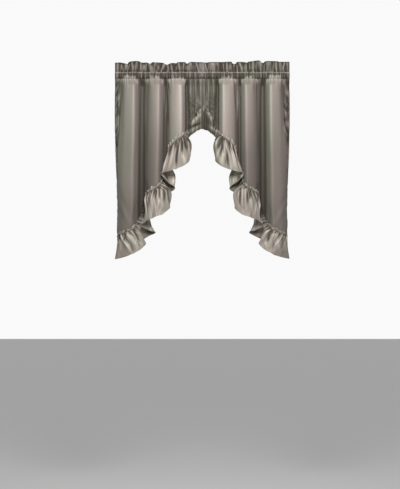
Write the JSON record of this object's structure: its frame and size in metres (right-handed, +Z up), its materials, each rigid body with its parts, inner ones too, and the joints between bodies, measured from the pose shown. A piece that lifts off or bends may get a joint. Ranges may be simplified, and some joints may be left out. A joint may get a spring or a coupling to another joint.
{
  "type": "window swag pair",
  "caption": "Pair of gathered satin window swags with rod-pocket headings, arched lower edges and ruffles falling in fans.",
  "frame": {"origin": "middle of the header's top edge, where the two halves meet, on the line of the rod pocket", "axes": "+X along the window to the right, +Y toward the window and away from the room, +Z up"},
  "size_m": [0.8114, 0.0913, 0.92],
  "materials": {
    "heading_cloth": "gathered grey-brown satin, soft sheen",
    "panel_cloth": "grey-brown satin, soft sheen along the folds",
    "ruffle_cloth": "pleated grey-brown satin, soft sheen"
  },
  "bodies": {
    "root": {"heading_left": "heading_cloth", "heading_right": "heading_cloth", "panel_left": "panel_cloth", "panel_right": "panel_cloth", "ruffle_left": "ruffle_cloth", "ruffle_right": "ruffle_cloth"}
  },
  "joints": []
}
